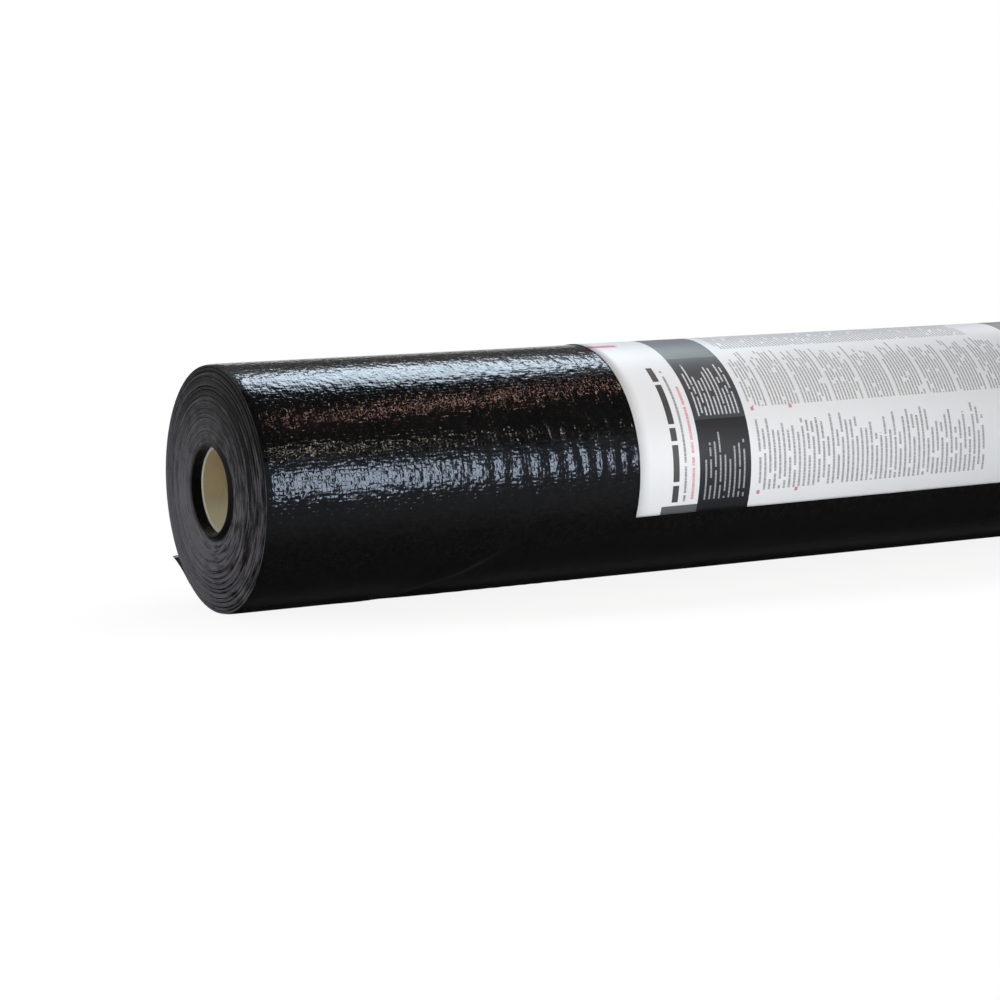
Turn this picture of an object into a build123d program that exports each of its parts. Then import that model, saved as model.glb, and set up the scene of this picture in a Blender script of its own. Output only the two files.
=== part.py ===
import os
from math import cos, radians, sin
from build123d import *

# Roll of roofing underlayment lying along X on the floor, sizes in millimetres
sheet_width = 1219.2  # the 48 in width that the sheet is sold in
roll_diameter = 152.4
core_bore = 50.8  # the usual 2 in paper core
core_wall = 2.0
core_recess = 3.3  # the core stops short of the outer turns

# Turns on the ends: the inner ones slid towards the near end, the outer ones step back
turn_bands = 20
slide_out = 3.3
slide_width = 23.0  # breadth of the outer turns that step back
slide_unevenness = 0.14  # share of its slide that a band may lack

# Loose end of the sheet, low at the back
tail_root = 54.0  # degrees below level where it leaves the roll
tail_tip = 37.5  # degrees below level at the free edge
tail_lift = 4.0
tail_thick = 0.6

# Printed paper label round the middle
label_width = 705.0
label_start = 19.5  # degrees below level at the front
label_end = 11.0  # degrees below level at the back
label_thick = 0.3

roll_radius = roll_diameter / 2
core_radius = core_bore / 2 + core_wall
near_end = slide_out / 2 - sheet_width / 2  # the outer turns' two edges
far_end = near_end + sheet_width
roll_axis = Axis((0, 0, roll_radius), (1, 0, 0))


def section(points):
    # half section above the axis, given as distance along the roll and radius
    return make_face(Polyline([(x, 0, roll_radius + r) for x, r in points], close=True))


def slide(band, outer):
    # how far a band of turns slid; its two ends move together, as the sheet is one width
    share = min(1, (roll_radius - outer) / slide_width)
    return -slide_out * share * (1 - slide_unevenness * abs(sin(2.4 * band)))


def wound_sheet():
    band_width = (roll_radius - core_radius) / turn_bands
    near = []
    far = []
    for band in range(turn_bands):
        inner = core_radius + band * band_width
        outer = inner + band_width
        shift = slide(band, outer)
        near += [(near_end + shift, inner), (near_end + shift, outer)]
        far += [(far_end + shift, inner), (far_end + shift, outer)]
    return revolve(section(near + far[::-1]), roll_axis)


def back_point(degrees_below, radius):
    # point on the back of the roll, in the plane across its near end
    angle = radians(degrees_below)
    return (near_end, radius * cos(angle), roll_radius - radius * sin(angle))


def loose_tail():
    # the outer turn leaves the roll slowly, then curls away to its free edge
    middle = tail_root + 0.6 * (tail_tip - tail_root)
    middle_lift = 0.3 * tail_lift

    def curl(inset):
        return Spline(
            back_point(tail_root, roll_radius - inset),
            back_point(middle, roll_radius + middle_lift - inset),
            back_point(tail_tip, roll_radius + tail_lift - inset),
        )

    over = curl(0)
    under = curl(tail_thick)
    root = Line(under @ 0, over @ 0)
    edge = Line(under @ 1, over @ 1)
    return extrude(make_face([under, edge, over, root]), amount=sheet_width, dir=(1, 0, 0))


def tube():
    start = near_end + core_recess
    end = far_end - slide_out - core_recess
    bore = core_bore / 2
    wall = section([(start, bore), (end, bore), (end, core_radius), (start, core_radius)])
    return revolve(wall, roll_axis)


def label():
    middle = (near_end + far_end) / 2
    start = middle - label_width / 2
    end = middle + label_width / 2
    outer = roll_radius + label_thick
    strip = section([(start, roll_radius), (end, roll_radius), (end, outer), (start, outer)])
    lower_edge = Pos(0, 0, roll_radius) * Rot(90 + label_start, 0, 0) * Pos(0, 0, -roll_radius) * strip
    return revolve(lower_edge, roll_axis, revolution_arc=-(180 + label_start + label_end))


pieces = {
    "membrane_roll": wound_sheet() + loose_tail(),
    "core_tube": tube(),
    "label_sheet": label(),
}

os.makedirs("parts", exist_ok=True)
for name, piece in pieces.items():
    export_step(piece, f"parts/{name}.step")
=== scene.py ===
import math
import random

import bmesh
import bpy
from mathutils import Matrix, Vector, noise


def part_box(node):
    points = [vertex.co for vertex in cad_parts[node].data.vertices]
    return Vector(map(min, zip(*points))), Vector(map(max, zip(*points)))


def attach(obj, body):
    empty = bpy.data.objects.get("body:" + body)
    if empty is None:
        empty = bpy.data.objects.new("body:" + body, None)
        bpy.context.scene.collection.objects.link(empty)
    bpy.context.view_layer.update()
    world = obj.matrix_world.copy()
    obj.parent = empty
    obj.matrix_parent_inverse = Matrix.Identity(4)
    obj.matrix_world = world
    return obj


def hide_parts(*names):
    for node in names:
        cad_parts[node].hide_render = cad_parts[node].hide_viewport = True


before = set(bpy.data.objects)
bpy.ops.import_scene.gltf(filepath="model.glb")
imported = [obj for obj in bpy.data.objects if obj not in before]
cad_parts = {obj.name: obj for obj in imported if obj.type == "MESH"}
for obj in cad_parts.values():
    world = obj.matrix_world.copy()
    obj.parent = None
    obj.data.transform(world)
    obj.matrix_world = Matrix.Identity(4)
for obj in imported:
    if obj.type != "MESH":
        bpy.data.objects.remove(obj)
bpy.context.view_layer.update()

rollLow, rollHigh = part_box("membrane_roll")
coreLow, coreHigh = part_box("core_tube")
labelLow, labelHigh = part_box("label_sheet")
rollRadius = (rollHigh.z - rollLow.z) / 2
axisHeight = rollLow.z + rollRadius
coreRadius = (coreHigh.z - coreLow.z) / 2
slideOut = 0.0033  # how far the inner turns slid towards the near end
nearEdge = rollLow.x + slideOut  # the outer turns' near edge
farEdge = rollHigh.x
millimetre = 0.001
mergeDistance = 0.000001
quarterTurn = math.pi / 2


# angles run up from the front of the roll, so 90 degrees is its top and -90 its foot
def onRoll(x, radius, angle):
    return Vector((x, -radius * math.cos(angle), axisHeight + radius * math.sin(angle)))


def polar(point):
    up = point.z - axisHeight
    return math.hypot(point.y, up), math.atan2(up, -point.y)


def smoothStep(value, low, high):
    share = min(1, max(0, (value - low) / (high - low)))
    return share * share * (3 - 2 * share)


def drawOn(bm, last, x, radius, angle=quarterTurn):  # carries an outline on by one point
    point = bmesh.ops.extrude_vert_indiv(bm, verts=[last])["verts"][0]
    point.co = onRoll(x, radius, angle)
    return point


def drawLoop(bm, outline):  # closed outline over the axis, as places along the roll and radii
    points = [bm.verts.new(onRoll(*outline[0], quarterTurn))]
    for x, radius in outline[1:]:
        points.append(drawOn(bm, points[-1], x, radius))
    bm.edges.new((points[-1], points[0]))
    return points


def spinRound(bm, steps, turn=math.tau):
    whole = turn == math.tau
    bmesh.ops.spin(
        bm,
        geom=bm.verts[:] + bm.edges[:],
        cent=(0, 0, axisHeight),
        axis=(1, 0, 0),
        dvec=(0, 0, 0),
        angle=turn,
        steps=steps,
        use_merge=whole,
        use_duplicate=False,
    )
    if whole:
        bmesh.ops.remove_doubles(bm, verts=bm.verts[:], dist=mergeDistance)


def finishMesh(bm, name, materials):
    mesh = bpy.data.meshes.new(name)
    bm.to_mesh(mesh)
    bm.free()
    piece = bpy.data.objects.new(name, mesh)
    bpy.context.scene.collection.objects.link(piece)
    for material in materials:
        mesh.materials.append(material)
    return piece


class Wire:  # a socket of a node tree that can be used in sums
    def __init__(self, tree, socket=None):
        self.tree = tree
        self.socket = socket

    def node(self, kind, settings=None, inputs=None, output=0):
        made = self.tree.nodes.new(kind)
        for name, value in (settings or {}).items():
            if name == "stops":
                ramp = made.color_ramp.elements
                for at, colour in value:
                    ramp.new(at).color = colour
                ramp.remove(ramp[0])
                ramp.remove(ramp[-1])
            else:
                setattr(made, name, value)
        for name, value in (inputs or {}).items():
            if isinstance(value, Wire):
                self.tree.links.new(value.socket, made.inputs[name])
            else:
                made.inputs[name].default_value = value
        return Wire(self.tree, made.outputs[output] if made.outputs else None)

    def other(self, output):  # another output of the same node
        return Wire(self.tree, self.socket.node.outputs[output])

    def math(self, operation, *others):
        values = dict(enumerate((self,) + others))
        return self.node("ShaderNodeMath", {"operation": operation}, values)

    def swapped(self, operation, other):
        return self.node("ShaderNodeMath", {"operation": operation}, {0: other, 1: self})

    def __add__(self, other):
        return self.math("ADD", other)

    def __radd__(self, other):
        return self.swapped("ADD", other)

    def __sub__(self, other):
        return self.math("SUBTRACT", other)

    def __rsub__(self, other):
        return self.swapped("SUBTRACT", other)

    def __mul__(self, other):
        return self.math("MULTIPLY", other)

    def __rmul__(self, other):
        return self.swapped("MULTIPLY", other)

    def __truediv__(self, other):
        return self.math("DIVIDE", other)

    def __rtruediv__(self, other):
        return self.swapped("DIVIDE", other)

    def __gt__(self, other):
        return self.math("GREATER_THAN", other)

    def __lt__(self, other):
        return self.math("LESS_THAN", other)


def newMaterial(name):
    material = bpy.data.materials.new(name)
    material.use_nodes = True
    material.node_tree.nodes.clear()
    return material, Wire(material.node_tree)


def showShader(wire, shader):
    wire.node("ShaderNodeOutputMaterial", {}, {"Surface": shader})


def finishMaterial(wire, colour, roughness, specular, height, tint=(1, 1, 1, 1)):
    bump = wire.node("ShaderNodeBump", {}, {"Strength": 1.0, "Distance": 1.0, "Height": height})
    showShader(wire, wire.node("ShaderNodeBsdfPrincipled", {}, {
        "Base Color": colour,
        "Roughness": roughness,
        "Specular IOR Level": specular,
        "Specular Tint": tint,
        "Normal": bump,
    }))


def objectPlace(wire):
    return wire.node("ShaderNodeTexCoord", {}, {}, "Object")


def rollPlace(wire):  # distance along the roll, angle up from its front, and radius
    place = objectPlace(wire)
    along = wire.node("ShaderNodeSeparateXYZ", {}, {0: place}, "X")
    across = along.other("Y")
    up = along.other("Z") - axisHeight
    angle = up.math("ARCTAN2", across * -1)
    radius = (up * up + across * across).math("SQRT")
    return place, along, angle, radius


def vector(wire, x, y=0.0, z=0.0):
    return wire.node("ShaderNodeCombineXYZ", {}, {0: x, 1: y, 2: z})


def reshaped(place, operation, factors=None, output=0):  # vector sums, such as a length
    inputs = {0: place, 1: factors} if factors else {0: place}
    return place.node("ShaderNodeVectorMath", {"operation": operation}, inputs, output)


def cloud(place, scale, detail=2.0, roughness=0.5):
    inputs = {"Vector": place, "Scale": scale, "Detail": detail, "Roughness": roughness}
    return place.node("ShaderNodeTexNoise", {}, inputs)


def streak(at, detail=1.0):  # noise along one value
    inputs = {"W": at, "Scale": 1.0, "Detail": detail}
    return at.node("ShaderNodeTexNoise", {"noise_dimensions": "1D"}, inputs)


def chance(x, y=0.0):  # one number from 0 to 1 for each cell
    return x.node("ShaderNodeTexWhiteNoise", {"noise_dimensions": "2D"}, {"Vector": vector(x, x, y)})


def blend(share, first, second):
    return share.node("ShaderNodeMix", {"data_type": "RGBA"}, {0: share, 6: first, 7: second}, 2)


def between(value, low, high):
    return (value > low) * (value < high)


def clamped(value):
    return value.math("MAXIMUM", 0.0).math("MINIMUM", 1.0)


def fadeIn(value, low, high, kind="SMOOTHSTEP"):  # from 0 at low to 1 at high
    return value.node("ShaderNodeMapRange", {"interpolation_type": kind}, {0: value, 1: low, 2: high})


# the sheet: black woven tapes under a thin coat; clouds are scale, detail and roughness
sheetFinish = {
    "dark": (0.0032, 0.0032, 0.0032, 1),
    "worn": (0.0066, 0.0066, 0.0066, 1),
    "tint": (0.66, 0.79, 1.0, 1),
    "specular": 0.14,
    "roughness": (0.06, 0.08),  # least, and what wear adds
    "tapesRound": 184,
    "tapeWidth": 0.0026,
    "tapeCorner": 6.0,  # how squarely a tape ends
    "tapeRise": 0.00005,
    "tapeOdds": (0.35, 1.1),  # least share of that rise, and what chance adds
    "stray": (200.0, 1.0),
    "strayReach": 1.2,  # in tapes
    "pebble": (260.0, 1.0, 0.35),
    "pebbleRise": 0.00038,
    "crinkle": (120.0, 2.0, 0.5),
    "crinkleRise": 0.00012,
    "lanes": (95.0, 1.2),  # to a metre along the roll, to a radian round it
    "laneRise": 0.00016,
    "laneStart": (0.1, 0.2),  # from the near edge
    "laneLeast": 0.08,
    "wear": (35.0, 4.0, 0.6),
    "wornShare": (0.5, 0.6),  # by chance for each tape, and by wear
}


def makeSheetFinish():
    look = sheetFinish
    material, wire = newMaterial("wovenSheet")
    place, along, angle, _ = rollPlace(wire)
    stray = (cloud(place, *look["stray"]) - 0.5) * look["strayReach"]
    roundTape = angle * (look["tapesRound"] / math.tau) + stray
    alongTape = along / look["tapeWidth"] - stray
    cells = []
    arches = []
    edges = []
    for tapes in (roundTape, alongTape):
        cell = tapes.math("FLOOR")
        part = tapes - cell - 0.5
        cells.append(cell)
        arches.append((part * math.pi).math("COSINE"))
        edges.append(1 - (part.math("ABSOLUTE") * 2).math("POWER", look["tapeCorner"]))
    over = (cells[0] + cells[1]).math("FLOORED_MODULO", 2.0)
    tape = over * arches[0] * edges[1] + (1 - over) * arches[1] * edges[0]
    odd = chance(*cells)

    leastTape, oddTape = look["tapeOdds"]
    lanesAlong, lanesRound = look["lanes"]
    lane = cloud(vector(wire, along * lanesAlong, angle * lanesRound), 1.0, 1.0)
    wavy = fadeIn(along, *[nearEdge + start for start in look["laneStart"]])
    rise = tape * (leastTape + oddTape * odd) * look["tapeRise"]
    rise = rise + cloud(place, *look["pebble"]) * look["pebbleRise"]
    rise = rise + cloud(place, *look["crinkle"]) * look["crinkleRise"]
    rise = rise + lane * (look["laneLeast"] + (1 - look["laneLeast"]) * wavy) * look["laneRise"]

    wear = cloud(place, *look["wear"])
    byChance, byWear = look["wornShare"]
    smooth, rough = look["roughness"]
    colour = blend(clamped(odd * byChance + wear * byWear), look["dark"], look["worn"])
    finishMaterial(wire, colour, smooth + rough * wear, look["specular"], rise, look["tint"])
    return material


# the sheet's cut edges, seen on the roll's ends
edgeFinish = {
    "pale": (0.188, 0.183, 0.207, 1),
    "deep": (0.012, 0.012, 0.014, 1),
    "specular": 0.25,
    "roughness": (0.62, 0.2),  # least, and what fuzz adds
    "wander": (18.0, 2.0),
    "line": (0.0011, 1.5, 2.0),  # pitch, wandering, detail
    "band": (0.006, 0.8, 1.0),
    "fuzz": (900.0, 2.0, 0.7),
    "blotch": (130.0, 3.0, 0.6),
    "arc": (1.0, 2.0, 0.6),
    "arcLength": 3.0,
    "arcPitch": 0.0021,
    "paleShare": 0.53,
    "lineShare": 0.85,
    "bandShare": 0.7,
    "fuzzShare": 0.8,
    "blotchShare": 0.8,
    "arcShare": 4.4,
    "frayed": (0.6, 0.42, 0.35, 0.15),  # more at the front, less high up, middle, least
    "paintedShade": (0.62, 0.28),  # painted shade high up, and at the front
    "shadeRing": (0.76, 24.0),  # share of the radius, sharpness
    "shadeShare": (0.2, 0.16),  # all round, and less at the front
    "paintedCoreShade": (0.0012, 0.0030),  # painted shade round the sunk core, out from the core
    "innerStray": 0.003,
    "paintedFrontShade": 0.0046,  # the painted shade ring round the core is broader at the front
    "frontAngle": -0.35,
    "lineRise": 0.00025,
    "fuzzRise": 0.00006,
}


def makeEdgeFinish():
    look = edgeFinish
    material, wire = newMaterial("cutEdges")
    place, _, angle, radius = rollPlace(wire)
    wander = cloud(place, *look["wander"])

    def rings(name):
        pitch, stray, detail = look[name]
        return streak(radius / pitch + wander * stray, detail)

    high = angle.math("SINE")
    front = angle.math("COSINE")
    turned = vector(wire, front * look["arcLength"], high * look["arcLength"], radius / look["arcPitch"])
    kinds = {
        "line": rings("line"),
        "band": rings("band"),
        "fuzz": cloud(place, *look["fuzz"]),
        "blotch": cloud(place, *look["blotch"]),
        "arc": cloud(turned, *look["arc"]),
    }
    byFront, byHigh, middle, least = look["frayed"]
    frayed = (front * byFront - high * byHigh + middle).math("MAXIMUM", least)
    share = (kinds["arc"] - 0.5) * frayed * look["arcShare"] + look["paleShare"]
    for name in ("line", "band", "fuzz", "blotch"):
        share = share + (kinds[name] - 0.5) * look[name + "Share"]
    # painted shade: the end less pale high up and at the front, more so further out
    paintedShadeHigh, paintedShadeFront = look["paintedShade"]
    share = share - (high * paintedShadeHigh + front * paintedShadeFront) * (radius / rollRadius)

    ringAt, sharpness = look["shadeRing"]
    fromRing = (radius / rollRadius - ringAt) * sharpness
    allRound, lessFront = look["shadeShare"]
    share = share - (allRound - front * lessFront) / (fromRing * fromRing + 1)

    # painted shade: the end goes deep close round the sunk core, further out at the front
    facing = (angle - look["frontAngle"]).math("COSINE").math("MAXIMUM", 0.0)
    fromCore = radius - coreRadius + (kinds["blotch"] - 0.5) * look["innerStray"]
    share = share * fadeIn(fromCore - facing * look["paintedFrontShade"], *look["paintedCoreShade"], "LINEAR")
    colour = blend(clamped(share), look["deep"], look["pale"])
    smooth, rough = look["roughness"]
    rise = kinds["line"] * look["lineRise"] + kinds["fuzz"] * look["fuzzRise"]
    finishMaterial(wire, colour, smooth + rough * kinds["fuzz"], look["specular"], rise)
    return material


# the core: spiral wound board
boardFinish = {
    "tan": (0.66, 0.53, 0.32, 1),
    "brown": (0.47, 0.345, 0.19, 1),
    "olive": (0.48, 0.47, 0.28, 1),
    "lit": (0.86, 0.82, 0.60, 1),  # painted light: paler along the bottom of the bore, where more light falls
    "cut": (0.98, 0.96, 0.85, 1),
    "specular": 0.3,
    "roughness": (0.75, 0.15),  # least, and what fibres add
    "plyWidth": 0.062,
    "seam": (0.02, 0.985),  # shares of a ply
    "fibre": (300, 40, 4000),  # along, round and through the board
    "mottle": (60.0, 3.0),
    "brownShare": (0.7, 0.5, 0.2, 0.2),  # by mottle, by fibre, at seams, taken off
    "oliveFrom": (0.5, 0.7),  # height on the wall, strength
    "litFrom": (-0.35, 1.4),
    "cutDepth": 0.0004,
    "fibreRise": 0.00008,
    "seamDepth": 0.0002,
}


def makeBoardFinish():
    look = boardFinish
    material, wire = newMaterial("spiralBoard")
    place, along, angle, radius = rollPlace(wire)
    ply = along / look["plyWidth"] + angle / math.tau
    part = ply - ply.math("FLOOR")
    seamLow, seamHigh = look["seam"]
    seam = (part < seamLow) + (part > seamHigh)
    fibresAlong, fibresRound, fibresThrough = look["fibre"]
    fibrePlace = vector(wire, along * fibresAlong, angle * fibresRound, radius * fibresThrough)
    fibre = cloud(fibrePlace, 1.0, 3.0)
    mottle = cloud(place, *look["mottle"])

    byMottle, byFibre, atSeams, takenOff = look["brownShare"]
    brown = clamped(mottle * byMottle + fibre * byFibre + seam * atSeams - takenOff)
    wall = blend(brown, look["tan"], look["brown"])
    high = angle.math("SINE")
    # olive low on the wall, then painted light along the bottom of the bore
    for name in ("olive", "lit"):
        start, strength = look[name + "From"]
        wall = blend(clamped(start - high) * strength, wall, look[name])
    rim = (along < coreLow.x + look["cutDepth"]) + (along > coreHigh.x - look["cutDepth"])
    colour = blend(rim, wall, look["cut"])
    smooth, rough = look["roughness"]
    rise = fibre * look["fibreRise"] - seam * look["seamDepth"]
    finishMaterial(wire, colour, smooth + rough * fibre, look["specular"], rise)
    return material


# the label's paper and its print, in millimetres from its near lower corner
labelPrint = {
    "white": (0.755, 0.80, 0.838, 1),
    "mottled": (0.70, 0.742, 0.785, 1),
    "slate": (0.0095, 0.011, 0.0155, 1),
    # the band's upper section is partly a lighter print and partly painted sheen, and its top is painted
    # sheen alone
    "slateHighAndSheen": (0.043, 0.050, 0.060, 1),
    "paintedSheenSlate": (0.118, 0.134, 0.150, 1),
    "grey": (0.10, 0.11, 0.12, 1),
    "fineGrey": (0.20, 0.205, 0.215, 1),
    "black": (0.010, 0.010, 0.011, 1),
    "red": (0.62, 0.06, 0.12, 1),
    "specular": 0.25,
    "roughness": (0.36, 0.12),  # least, and what mottle adds
    "mottle": (70.0, 3.0),
    "mottleShare": 0.35,
    "mottleRise": 0.00012,
    "fibre": (1400.0, 2.0),
    "fibreRise": 0.000012,
    "band": (45.0, 84.5),
    "middleBand": 333.0,  # where the band in the middle of the label starts
    "columnsMiddle": 200.0,  # between the two bands
    "bandSplit": 60.0,
    "bandTop": 110.0,
    "lowDashes": 0.55,  # strength of the band's lower dashes beside its upper ones
    "barsAcross": (25.0, 29.6),
    "bars": ((8.0, 19.0), (21.5, 45.0), (47.5, 56.0), (58.5, 87.0), (89.5, 102.0)),
    "footStart": 18.0,
    "footHeight": 5.6,
    "topMarkLength": 22.0,
    "topMark": (132.5, 137.5),
    "panel": (26.0, 0.11),  # pitch, and the share left blank between two
    "bulletPitch": 30.0,
    "bulletSize": 2.4,
    "bulletsAcross": (88.0, 125.0),
    "bulletRows": ((8.5, 11.0), (63.5, 66.0)),
}
# blocks of rows of dashes: where the rows are counted from, their reach along the roll, foot,
# ragged tops, pitch, weight, seed, length of a dash
dashBlocks = {
    "small": (32.6, (32.6, 36.0), 8.0, (92.0, 104.0), 3.4, 0.5, 2.0, 9.0),
    "red": (38.3, (38.3, 42.3), 9.0, (86.0, 100.0), 4.0, 0.5, 5.0, 4.0),
    "bandHigh": (3.0, (3.0, 37.0), 62.5, (88.0, 106.0), 3.05, 0.40, 11.0, 7.0),
    "bandLow": (3.0, (3.0, 37.0), 8.0, (34.0, 52.0), 3.7, 0.34, 17.0, 7.0),
    "low": (0.0, (89.0, 278.0), 11.0, (40.0, 58.0), 3.9, 0.46, 23.0, 10.0),
    "high": (0.0, (88.0, 318.0), 66.0, (100.0, 115.0), 2.6, 0.5, 31.0, 10.0),
    "top": (0.0, (92.0, 300.0), 119.0, (176.0, 205.0), 2.6, 0.5, 41.0, 10.0),
}
dashLook = {
    "rowShift": 13.7,  # moves each row's dashes on
    "gap": 0.34,
    "tickLength": 0.8,
    "tickShift": 5.3,
    "tickGap": 0.44,
    "faint": 0.55,  # ink between the ticks
}


def dashRows(name, across, up):
    look = dashLook
    rowsFrom, span, foot, tops, pitch, weight, seed, dashLength = dashBlocks[name]
    rows = (across - rowsFrom) / pitch
    row = rows.math("FLOOR")
    stroke = between(rows - row, 0.5 - weight / 2, 0.5 + weight / 2)
    dash = streak(up / dashLength + row * look["rowShift"] + seed) > look["gap"]
    tick = streak(up / look["tickLength"] + row * look["tickShift"] + seed * 3) > look["tickGap"]
    ink = look["faint"] + (1 - look["faint"]) * tick
    low, high = tops
    end = low + (high - low) * chance(row, seed)
    return stroke * dash * ink * between(up, foot, end) * between(across, *span)


def makeLabelFinish():
    look = labelPrint
    material, wire = newMaterial("printedPaper")
    place, along, angle, _ = rollPlace(wire)
    width = (labelHigh.x - labelLow.x) / millimetre
    wrapped = angle + (angle < -quarterTurn) * math.tau  # the label ends past the back of the roll
    straightUp = (wrapped - label["lowerEdge"]) * (rollRadius / millimetre)
    straightAcross = (along - labelLow.x) / millimetre
    up = straightUp - straightAcross * label["lean"]
    leaning = straightAcross + up * label["lean"]
    across = leaning.math("MINIMUM", width - leaning)  # the far half mirrors the near one

    # near margin: a row of plain bars, a small line, a red line, a foot strip and a red mark
    bars = between(across, *look["barsAcross"]) * sum(between(up, *bar) for bar in look["bars"])
    bandLow, bandHigh = look["band"]
    footStrip = between(across, look["footStart"], bandLow) * (up < look["footHeight"])
    topMark = (across < look["topMarkLength"]) * between(up, *look["topMark"])

    # dark bands: pale dashes in two sections
    inBand = between(across, bandLow, bandHigh) + (across > look["middleBand"])
    inMiddle = across > look["columnsMiddle"]
    bandAcross = across - bandLow + inMiddle * (bandLow - look["middleBand"])
    bandDashes = dashRows("bandHigh", bandAcross, up)
    bandDashes = bandDashes + dashRows("bandLow", bandAcross, up) * look["lowDashes"]

    # columns of fine grey dashes, with red bullets
    pitch, blank = look["panel"]
    panel = (across / pitch).math("FLOORED_MODULO", 1.0) > blank
    columns = dashRows("low", across, up) + dashRows("high", across, up) * panel
    columns = columns + dashRows("top", across, up)
    bullet = between(across.math("FLOORED_MODULO", look["bulletPitch"]), 0.0, look["bulletSize"])
    bullets = bullet * between(across, *look["bulletsAcross"])
    bullets = bullets * sum(between(up, *row) for row in look["bulletRows"])

    mottle = cloud(place, *look["mottle"])
    fibre = cloud(place, *look["fibre"])
    paper = blend(mottle * look["mottleShare"], look["white"], look["mottled"])
    # painted sheen: the band paler in its upper section, partly print there, and paler still at its top
    slate = blend(up > look["bandSplit"], look["slate"], look["slateHighAndSheen"])
    slate = blend(up > look["bandTop"], slate, look["paintedSheenSlate"])
    colour = blend(inBand, paper, slate)
    for mask, ink, strength in (
        (bandDashes * inBand, "white", 0.8),
        (footStrip, "grey", 1.0),
        (bars, "black", 0.94),
        (dashRows("small", across, up), "fineGrey", 0.9),
        (dashRows("red", across, up), "red", 0.6),
        (columns, "fineGrey", 0.78),
        (bullets + topMark, "red", 0.8),
    ):
        colour = blend(mask * strength, colour, look[ink])
    smooth, rough = look["roughness"]
    rise = fibre * look["fibreRise"] + mottle * look["mottleRise"]
    finishMaterial(wire, colour, smooth + rough * mottle, look["specular"], rise)
    return material


# the wound sheet
roll = {
    "seed": 7,
    "steps": 180,
    "turns": 44,
    "slideWidth": 0.023,
    "unevenness": 0.00028,
    "openTurns": (14, 19, 23, 26, 29, 31, 34, 36, 39, 41),
    "openChance": 0.04,
    "tightGap": 0.26,  # shares of a turn
    "openGap": 0.95,
    "gapSpread": (0.7, 1.2),
    "tightDepth": 0.0007,
    "openDepth": 0.003,
    "depthSpread": (0.6, 1.3),
    "outerTurns": (0.5, 0.72),  # shares of the turns over which they get looser
    "innerFaces": 0.3,  # how uneven and how deep the inner turns are beside the outer ones
    "innerDepth": 0.35,
    "looseAt": math.radians(-30),
    "looseness": (0.35, 1.7, 1.5),  # least, added on the loose side, power
    "wobble": 0.00035,
    "wobbleScale": (1.6, 260),  # round and across the turns
    "collar": 0.0018,  # the innermost turns stand proud of those round them
    "moatWidth": 0.006,
    "moatDepth": 0.0032,
    "moatLeast": 0.1,
    "moatAt": math.radians(-20),
    "nearRows": 170,
    "nearReach": 0.27,
    "farRows": 40,
    "rimRows": (0.0004, 0.0010, 0.0020, 0.0032),  # the outer turn rounds over at the roll's two rims
    "rowAfterRim": 3,
    "rowBeforeRim": 0.006,
    "rimReach": 0.0045,
    "rimDrop": 0.0006,
    "sway": 0.00009,
    "swayScale": (14, 2),  # along and round
    "calmRim": 0.02,
    "mostRise": 0.0009,
    "sideDepth": 0.00002,  # points less deep than this are on the side
    "edgeDepth": 0.0009,  # and so are faces less deep and less turned to the ends than these
    "edgeTurn": 0.6,
    "edgeClear": (0.004, 0.008),  # no turn's edge lies further in than this, at the near and far ends
}
ripples = {  # rings where the sheet was wound unevenly, closer together towards the label
    "height": 0.00014,
    "start": 0.10,  # from the near edge
    "rate": (41, 233),  # to a metre, and how that grows
    "comeIn": (0.11, 0.15),
    "goOut": (0.25, 0.27),
    "stray": 2.2,
    "strayNoise": (26, 2.4, 5),  # scale along, scale round, seed
    "swing": 0.4,
    "patches": 1.4,
    "patchNoise": (60, 1.5, 9),
    "middle": 0.35,  # angle up from the front
    "highFade": (0.15, 0.5),
    "farFade": (0.75, 1.0),  # from the middle
}
crease = {
    "start": (0.096, math.radians(-72)),  # along the roll from its near edge, and angle
    "end": (0.188, math.radians(-20)),
    "depth": 0.0012,
    "edge": 0.0024,
    "width": 0.014,
    "comeIn": (-0.25, 0.2),  # shares of its run
    "goOut": (0.6, 1.2),
}
tail = {
    "rootAngle": math.radians(-180 + 58),
    "tipAngle": math.radians(-180 + 37.5),
    "seat": 0.0003,  # its root lies this deep in the roll
    "lift": 0.0026,
    "curl": 2.2,
    "wave": 0.3,
    "waveScale": 9,
    "waveSeed": 3.1,
    "cornerLift": 0.0046,
    "cornerCurl": 3,
    "cornerReach": 0.016,
    "thickness": 0.00045,
    "rows": 12,
    "columns": 90,
}


def turnEdges(edgeX, inwards, rng):  # place, radius and gap depth along the turns' edges
    pitch = (rollRadius - coreRadius) / roll["turns"]
    points = []
    gap = 0
    for turn in range(roll["turns"]):
        inner = coreRadius + turn * pitch + gap * pitch / 2
        last = turn == roll["turns"] - 1
        outside = smoothStep(turn / roll["turns"], *roll["outerTurns"])
        opened = turn in roll["openTurns"] or rng.random() < roll["openChance"]
        gap = 0 if last else roll["openGap" if opened else "tightGap"] * rng.uniform(*roll["gapSpread"])
        outer = coreRadius + (turn + 1) * pitch - gap * pitch / 2
        share = min(1, (rollRadius - outer) / roll["slideWidth"])
        uneven = rng.uniform(-1, 1) * roll["unevenness"]
        uneven *= roll["innerFaces"] + (1 - roll["innerFaces"]) * outside
        face = edgeX - slideOut * share + uneven * (not last)
        points += [(face, inner, 0), (face, outer, 0)]
        if not last:
            depth = roll["openDepth" if opened else "tightDepth"] * rng.uniform(*roll["depthSpread"])
            depth *= inwards * (roll["innerDepth"] + (1 - roll["innerDepth"]) * outside)
            points.append((face + depth, coreRadius + (turn + 1) * pitch, depth))
    return points


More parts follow.
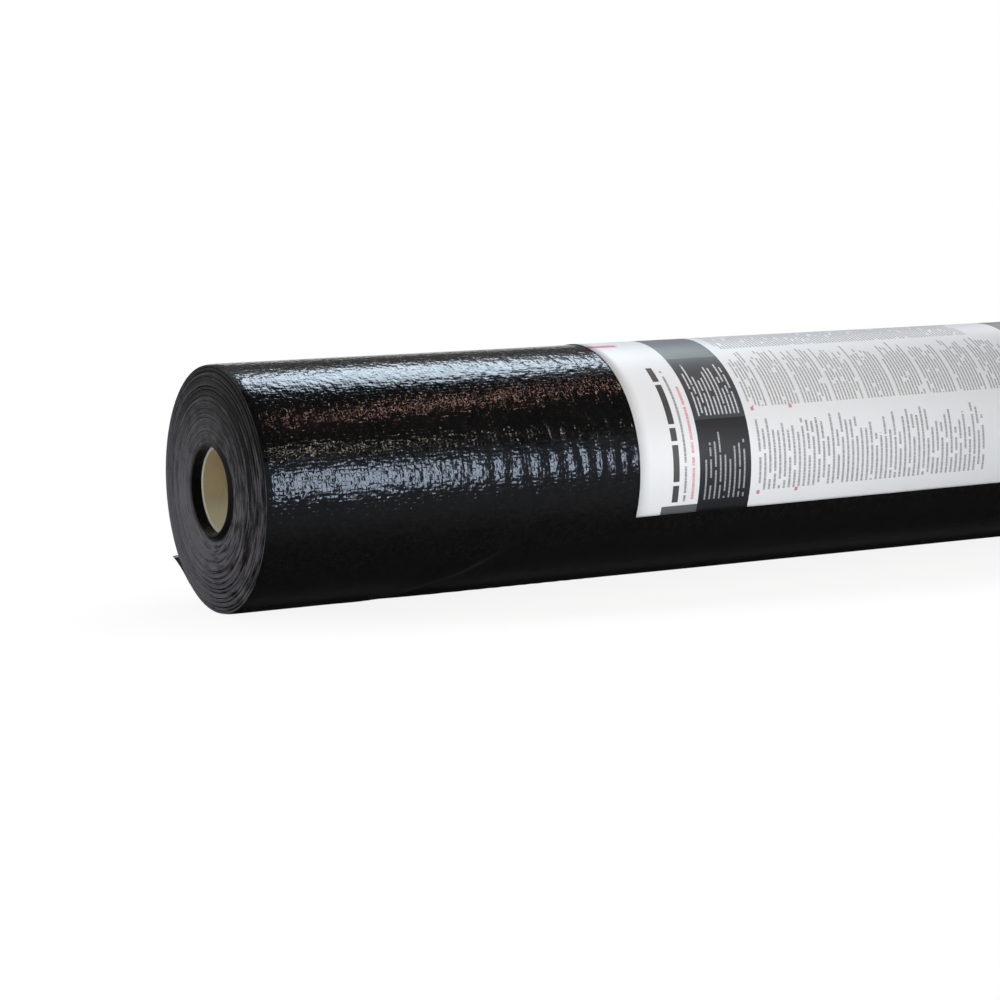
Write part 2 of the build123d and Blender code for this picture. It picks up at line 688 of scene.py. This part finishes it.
def sideRows():
    reach = roll["nearReach"]
    for fromRim in roll["rimRows"]:
        yield nearEdge + fromRim
    for row in range(roll["rowAfterRim"], roll["nearRows"] + 1):
        yield nearEdge + reach * row / roll["nearRows"]
    rest = farEdge - nearEdge - reach
    for row in range(1, roll["farRows"]):
        yield nearEdge + reach + rest * row / roll["farRows"]
    yield farEdge - roll["rowBeforeRim"]
    for fromRim in reversed(roll["rimRows"]):
        yield farEdge - fromRim


def creaseDip(x, angle):  # soft fold across the lower front
    startX, startAngle = crease["start"]
    endX, endAngle = crease["end"]
    run = Vector((endX - startX, (endAngle - startAngle) * rollRadius))
    here = Vector((x - nearEdge - startX, (angle - startAngle) * rollRadius))
    share = here.dot(run) / run.length_squared
    aside = (here.x * run.y - here.y * run.x) / run.length
    fade = smoothStep(share, *crease["comeIn"]) * (1 - smoothStep(share, *crease["goOut"]))
    step = -math.tanh(aside / crease["edge"]) * math.exp(-(aside / crease["width"]) ** 2)
    return crease["depth"] * fade * step


def rippleRise(fromEdge, angle):
    def patchy(name):
        along, around, seed = ripples[name]
        return noise.noise(Vector((fromEdge * along, angle * around, seed)))

    run = fromEdge - ripples["start"]
    rate, growth = ripples["rate"]
    stray = patchy("strayNoise") * ripples["stray"] + ripples["swing"] * math.sin(angle * 2)
    rise = ripples["height"] * math.sin(math.tau * (rate * run + growth * run * run) + stray)
    rise *= 1 + ripples["patches"] * patchy("patchNoise")
    rise *= smoothStep(fromEdge, *ripples["comeIn"]) * (1 - smoothStep(fromEdge, *ripples["goOut"]))
    fade = smoothStep(angle, *ripples["highFade"])
    fade += smoothStep(abs(angle - ripples["middle"]), *ripples["farFade"])
    return rise * (1 - fade / 2)


def shapeEnd(vert, gap, radius, angle):  # looser turns at the front, and the sunk ring round the core
    least, added, power = roll["looseness"]
    loose = least + added * (0.5 + 0.5 * math.cos(angle - roll["looseAt"])) ** power
    around, across = roll["wobbleScale"]
    wobble = noise.noise(Vector((math.cos(angle) * around, math.sin(angle) * around, radius * across)))
    inward = 1 if vert.co.x < 0 else -1
    fromCollar = radius - coreRadius - roll["collar"]
    sunk = max(0, 1 - fromCollar / roll["moatWidth"]) if fromCollar > 0 else 0
    facing = max(0, math.cos(angle - roll["moatAt"]))
    sunk *= roll["moatDepth"] * (roll["moatLeast"] + (1 - roll["moatLeast"]) * facing)
    vert.co.x += gap * (loose - 1) + wobble * roll["wobble"] + inward * sunk


def shapeSide(vert, radius, angle):
    x = vert.co.x
    along, around = roll["swayScale"]
    sway = noise.noise(Vector((x * along, math.cos(angle) * around, math.sin(angle) * around)))
    fromRim = min(x - nearEdge, farEdge - x)
    calm = smoothStep(fromRim, 0, roll["calmRim"])
    rim = roll["rimDrop"] * max(0, 1 - fromRim / roll["rimReach"]) ** 2
    grown = radius - rim + (sway * roll["sway"] + creaseDip(x, angle)) * calm
    grown += rippleRise(x - nearEdge, angle)
    vert.co = onRoll(x, min(grown, rollRadius + roll["mostRise"]), angle)


def makeRoll(materials):
    rng = random.Random(roll["seed"])
    bm = bmesh.new()
    gapLayer = bm.verts.layers.float.new("gap")
    nearPoints = turnEdges(nearEdge, 1, rng)
    farPoints = turnEdges(farEdge, -1, rng)
    outline = nearPoints + [(x, rollRadius, 0) for x in sideRows()] + farPoints[::-1]
    points = drawLoop(bm, [(x, radius) for x, radius, gap in outline])
    for point, (x, radius, gap) in zip(points, outline):
        point[gapLayer] = gap
    spinRound(bm, roll["steps"])
    for vert in bm.verts:
        radius, angle = polar(vert.co)
        if radius < rollRadius - roll["sideDepth"]:
            shapeEnd(vert, vert[gapLayer], radius, angle)
        else:
            shapeSide(vert, radius, angle)
    bmesh.ops.recalc_face_normals(bm, faces=bm.faces[:])
    bm.normal_update()
    nearClear, farClear = roll["edgeClear"]
    for face in bm.faces:
        middle = face.calc_center_median()
        outside = polar(middle)[0] > rollRadius - roll["edgeDepth"] and abs(face.normal.x) < roll["edgeTurn"]
        side = outside or nearEdge + nearClear < middle.x < farEdge - farClear
        face.material_index = 0 if side else 1
        face.smooth = side
    for edge in bm.edges:
        edge.smooth = len({face.material_index for face in edge.link_faces}) == 1
    addTail(bm)
    return finishMesh(bm, "membraneRoll", materials)


def tailLift(share, x):
    wave = 1 + tail["wave"] * noise.noise(Vector((x * tail["waveScale"], tail["waveSeed"], 0)))
    corner = share ** tail["cornerCurl"] * math.exp((nearEdge - x) / tail["cornerReach"])
    return tail["lift"] * share ** tail["curl"] * wave + tail["cornerLift"] * corner


def addTail(bm):  # the sheet's loose end, low at the back
    strip = bmesh.new()
    root = tail["rootAngle"]
    swing = tail["tipAngle"] - root
    last = strip.verts.new(onRoll(nearEdge, rollRadius, root))
    for row in range(1, tail["rows"] + 1):
        last = drawOn(strip, last, nearEdge, rollRadius, root + swing * row / tail["rows"])
    columns = tail["columns"]
    bmesh.ops.spin(
        strip,
        geom=strip.verts[:] + strip.edges[:],
        cent=(0, 0, 0),
        axis=(1, 0, 0),
        dvec=((farEdge - nearEdge) / columns, 0, 0),
        angle=0,
        steps=columns,
        use_duplicate=False,
    )
    for vert in strip.verts:
        angle = polar(vert.co)[1]
        share = max(0, (angle - root) / swing)
        lift = tailLift(share, vert.co.x) - tail["seat"] * (1 - share)
        vert.co = onRoll(vert.co.x, rollRadius + lift, angle)
    bmesh.ops.recalc_face_normals(strip, faces=strip.faces[:])
    bmesh.ops.solidify(strip, geom=strip.faces[:], thickness=tail["thickness"])
    bmesh.ops.recalc_face_normals(strip, faces=strip.faces[:])
    for face in strip.faces:
        face.smooth = True
    joined = bpy.data.meshes.new("looseEnd")
    strip.to_mesh(joined)
    strip.free()
    bm.from_mesh(joined)
    bpy.data.meshes.remove(joined)


# the core tube
core = {
    "wall": 0.002,
    "rimRound": 0.00025,
    "steps": 128,
    "flatTurn": 0.2,  # faces less turned to the ends than this are shaded smooth
}


def makeCore(material):
    bm = bmesh.new()
    bore = coreRadius - core["wall"]
    soft = core["rimRound"]
    rim = [(soft, bore), (0, bore + soft), (0, coreRadius - soft), (soft, coreRadius)]
    outline = [(coreLow.x + inset, radius) for inset, radius in rim]
    outline += [(coreHigh.x - inset, radius) for inset, radius in reversed(rim)]
    drawLoop(bm, outline)
    spinRound(bm, core["steps"])
    bmesh.ops.recalc_face_normals(bm, faces=bm.faces[:])
    for face in bm.faces:
        face.smooth = abs(face.normal.x) < core["flatTurn"]
    return finishMesh(bm, "coreTube", [material])


# the paper label
label = {
    "lowerEdge": math.radians(-20.7),  # at its near corner
    "backEdge": math.radians(191),
    "lean": 0.007,  # it lies a little askew
    "skew": 0.4,  # share of the lean that its two ends take
    "clear": 0.00008,
    "thickness": 0.00022,
    "lift": 0.00035,
    "liftReach": 0.006,
    "flutterScale": 11,
    "flutterSeed": 1.7,
    "columns": 80,
    "steps": 150,
}


def makeLabel(material):
    bm = bmesh.new()
    outer = rollRadius + label["clear"] + label["thickness"]
    lower = label["lowerEdge"]
    columns = label["columns"]
    width = labelHigh.x - labelLow.x
    last = bm.verts.new(onRoll(labelLow.x, outer, lower))
    for column in range(1, columns + 1):
        last = drawOn(bm, last, labelLow.x + width * column / columns, outer, lower)
    turn = label["backEdge"] - lower
    spinRound(bm, label["steps"], -turn)
    for vert in bm.verts:
        x = vert.co.x
        angle = polar(vert.co)[1]
        if angle < -quarterTurn:  # past the back of the roll
            angle += math.tau
        up = (angle - lower) * rollRadius
        edge = min(x - labelLow.x, labelHigh.x - x, up, turn * rollRadius - up)
        scale = label["flutterScale"]
        flutter = 0.5 + noise.noise(Vector((x * scale, up * scale, label["flutterSeed"])))
        lift = label["lift"] * math.exp(-edge / label["liftReach"]) * max(0, flutter)
        lean = (x - labelLow.x) * label["lean"] / rollRadius
        vert.co = onRoll(x - up * label["lean"] * label["skew"], outer + lift, angle + lean)
    bmesh.ops.recalc_face_normals(bm, faces=bm.faces[:])
    axisPoint = Vector((0, 0, axisHeight))
    if sum(face.normal.dot(face.calc_center_median() - axisPoint) for face in bm.faces) < 0:
        bmesh.ops.reverse_faces(bm, faces=bm.faces[:])
    bmesh.ops.solidify(bm, geom=bm.faces[:], thickness=label["thickness"])
    for face in bm.faces:
        face.smooth = True
    return finishMesh(bm, "printedLabel", [material])


sheetMaterial = makeSheetFinish()
edgeMaterial = makeEdgeFinish()
boardMaterial = makeBoardFinish()
labelMaterial = makeLabelFinish()
print("materials made")

rollPiece = makeRoll([sheetMaterial, edgeMaterial])
corePiece = makeCore(boardMaterial)
labelPiece = makeLabel(labelMaterial)
for piece, node, slot in (
    (rollPiece, "membrane_roll", "membrane"),
    (corePiece, "core_tube", "cardboard"),
    (labelPiece, "label_sheet", "paper"),
):
    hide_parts(node)
    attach(piece, "root")
    print(piece.name, len(piece.data.polygons), "faces")


# floor, light and camera
studio = {
    "white": (1, 1, 1, 1),
    "floorSize": 60.0,
    "floorColour": (0.82, 0.82, 0.82, 1),
    "whiteShare": 0.88,
    "ambient": 0.06,
    "shadowOval": (1.0, 3.8, 0.0),
    "shadowReach": (0.54, 0.74),
    "ceilingColour": (0.09, 0.09, 0.09, 1),
    "greyGlow": (0.2, 0.2, 0.2, 1),
    "cardDepth": 0.25,
    "cardStops": (  # painted reflection of the floor's shade and a light strip: away from the roll, before it and under it
        (0.15, (0.82, 0.78, 0.73, 1)),
        (0.30, (0.66, 0.62, 0.58, 1)),
        (0.58, (0.10, 0.09, 0.08, 1)),
        (0.66, (0.085, 0.082, 0.078, 1)),
        (0.78, (0.043, 0.042, 0.041, 1)),
        (0.86, (0.075, 0.075, 0.076, 1)),
        (0.90, (0.010, 0.010, 0.010, 1)),
    ),
    "flagReach": 1.2,
    "flagStops": (  # painted reflection tones, from the roll's own line outwards
        (0.25, (0.05, 0.05, 0.052, 1)),
        (0.60, (0.10, 0.10, 0.104, 1)),
        (1.00, (1, 1, 1, 1)),
    ),
    # boards: size, axis of a quarter turn, middle
    "ceiling": ((4.8, 3.55), None, (0.2, -1.425, 1.9)),
    "greyBoard": ((2.0, 1.1), "X", (0.55, 1.7, 1.0)),
    "card": ((2.4, 1.05), None, (0, -0.225, 0.0004)),
    "flag": ((2.4, 2.4), "Y", (2.4, 0, 0)),
}
lamps = {  # place, aim, width, height, power, spread in degrees, colour
    "overhead": ((0.171, 0.636, 1.272), (-0.51, -0.032, 0.114), 0.52, 0.53, 2.0, 70, (0.78, 0.91, 1.0)),
    "frontRight": ((0.065, -1.33, 0.27), (-0.5, 0.0, 0.05), 0.27, 0.47, 1.9, 70, (1.0, 1.0, 1.0)),
    "warmStrip": ((0.24, -0.33, 1.42), (-0.40, 0.0, 0.076), 0.72, 0.022, 0.32, 60, (1.0, 0.52, 0.36)),
    "warmLow": ((0.07, -1.21, 0.98), (-0.50, 0.0, 0.076), 0.30, 0.03, 0.21, 60, (1.0, 0.76, 0.52)),
    "leftFill": ((-2.2, -0.9, 1.5), (-0.2, 0.0, 0.08), 1.2, 1.2, 14.0, 180, (1.0, 0.99, 0.98)),
    "rightFill": ((2.6, -0.5, 1.3), (0.5, 0.0, 0.08), 1.0, 1.0, 16.0, 180, (1.0, 1.0, 1.0)),
    "backFill": ((-1.2, 2.6, 1.4), (0.1, 0.0, 0.08), 1.2, 1.0, 18.0, 180, (1.0, 0.99, 0.98)),
    "backRight": ((2.4, 2.2, 1.4), (0.4, 0.0, 0.08), 1.0, 1.0, 11.0, 180, (1.0, 1.0, 1.0)),
}


def seenRays(wire):  # camera, mirror and glass rays see the white surroundings
    camera = wire.node("ShaderNodeLightPath", {}, {}, "Is Camera Ray")
    mirror = camera.other("Is Glossy Ray")
    glass = camera.other("Is Transmission Ray")
    return camera.math("MAXIMUM", mirror).math("MAXIMUM", glass)


def glowShader(wire, colour):
    return wire.node("ShaderNodeEmission", {}, {"Color": colour, "Strength": 1.0})


def plainShader(wire, colour):
    return wire.node("ShaderNodeBsdfDiffuse", {}, {"Color": colour})


def makeFloor():
    material, wire = newMaterial("paleFloor")
    plain = plainShader(wire, studio["floorColour"])
    glow = glowShader(wire, studio["white"])
    oval = reshaped(objectPlace(wire), "MULTIPLY", studio["shadowOval"])
    away = fadeIn(reshaped(oval, "LENGTH", None, "Value"), *studio["shadowReach"])
    seen = seenRays(wire) * (studio["whiteShare"] + (1 - studio["whiteShare"]) * away)
    showShader(wire, wire.node("ShaderNodeMixShader", {}, {0: seen, 1: plain, 2: glow}))
    bm = bmesh.new()
    bmesh.ops.create_grid(bm, x_segments=1, y_segments=1, size=studio["floorSize"] / 2)
    floor = finishMesh(bm, "floor", [material])


def makeBoard(name, size, axis, middle, material, mirrorOnly=False):
    bm = bmesh.new()
    bmesh.ops.create_grid(bm, x_segments=1, y_segments=1, size=0.5)
    bmesh.ops.scale(bm, vec=(*size, 1), verts=bm.verts[:])
    if axis:
        bmesh.ops.rotate(bm, matrix=Matrix.Rotation(quarterTurn, 3, axis), verts=bm.verts[:])
    bmesh.ops.translate(bm, vec=middle, verts=bm.verts[:])
    board = finishMesh(bm, name, [material])
    board.visible_camera = False
    board.visible_diffuse = not mirrorOnly
    board.visible_shadow = not mirrorOnly


def cardTone(wire):  # painted shade and light for mirror rays, by the distance before or behind the roll
    aside = reshaped(objectPlace(wire), "DOT_PRODUCT", (0, 1 / studio["cardDepth"], 0), "Value")
    return wire.node("ShaderNodeValToRGB", {"stops": studio["cardStops"]}, {0: 1 - aside.math("ABSOLUTE")})


def flagTone(wire):  # painted reflection tone, by the distance from the roll's own line
    reach = reshaped(reshaped(objectPlace(wire), "MULTIPLY", (0, 1, 1)), "LENGTH", None, "Value")
    return wire.node("ShaderNodeValToRGB", {"stops": studio["flagStops"]}, {0: reach / studio["flagReach"]})


def makeBoards():
    ceiling, wire = newMaterial("darkCeiling")
    showShader(wire, plainShader(wire, studio["ceilingColour"]))
    makeBoard("darkCeiling", *studio["ceiling"], ceiling)
    # stands behind, above the camera's sight, and is mirrored in the top of the roll
    grey, wire = newMaterial("greyBoard")
    showShader(wire, glowShader(wire, studio["greyGlow"]))
    makeBoard("greyBoard", *studio["greyBoard"], grey)
    # the card on the floor and the flags past the ends glow and are there for their mirror images alone:
    # painted reflections, the card's tones a painted shade of the floor
    card, wire = newMaterial("paintedShadeCard")
    showShader(wire, glowShader(wire, cardTone(wire)))
    makeBoard("paintedShadeCard", *studio["card"], card, True)
    flag, wire = newMaterial("endFlag")
    showShader(wire, glowShader(wire, flagTone(wire)))
    size, axis, (away, aside, height) = studio["flag"]
    makeBoard("nearFlag", size, axis, (-away, aside, height), flag, True)
    makeBoard("farFlag", size, axis, (away, aside, height), flag, True)


def makeWorld():
    world = bpy.data.worlds.new("studioWhite")
    bpy.context.scene.world = world
    world.use_nodes = True
    world.node_tree.nodes.clear()
    wire = Wire(world.node_tree)
    strength = studio["ambient"] + seenRays(wire) * (1 - studio["ambient"])
    shade = wire.node("ShaderNodeBackground", {}, {"Color": studio["white"], "Strength": strength})
    wire.node("ShaderNodeOutputWorld", {}, {"Surface": shade})


def makeLamps():
    for name, (place, aim, width, height, power, spread, colour) in lamps.items():
        lamp = bpy.data.lights.new(name, "AREA")
        lamp.shape = "RECTANGLE"
        lamp.size = width
        lamp.size_y = height
        lamp.energy = power
        lamp.spread = math.radians(spread)
        lamp.color = colour
        holder = bpy.data.objects.new(name, lamp)
        holder.location = place
        holder.rotation_euler = (Vector(aim) - Vector(place)).to_track_quat("-Z", "Y").to_euler()
        holder.visible_camera = False
        bpy.context.scene.collection.objects.link(holder)


cameraView = {
    "fromEdge": (-8.7583, -20.0231, 3.1464),  # roll radii from the near edge's middle
    "yaw": 0.5165,
    "pitch": -0.1475,
    "lens": 99.39,
    "sensor": 36.0,
    "farthest": 200,
}


def makeCamera():
    data = bpy.data.cameras.new("photoView")
    data.lens = cameraView["lens"]
    data.sensor_width = cameraView["sensor"]
    data.clip_end = cameraView["farthest"]
    camera = bpy.data.objects.new("photoView", data)
    camera.location = Vector((nearEdge, 0, axisHeight)) + Vector(cameraView["fromEdge"]) * rollRadius
    camera.rotation_euler = (quarterTurn + cameraView["pitch"], 0, -cameraView["yaw"])
    bpy.context.scene.collection.objects.link(camera)
    bpy.context.scene.camera = camera


makeFloor()
makeBoards()
makeWorld()
makeLamps()
makeCamera()
bpy.context.scene.view_settings.view_transform = "Standard"
print("studio made")
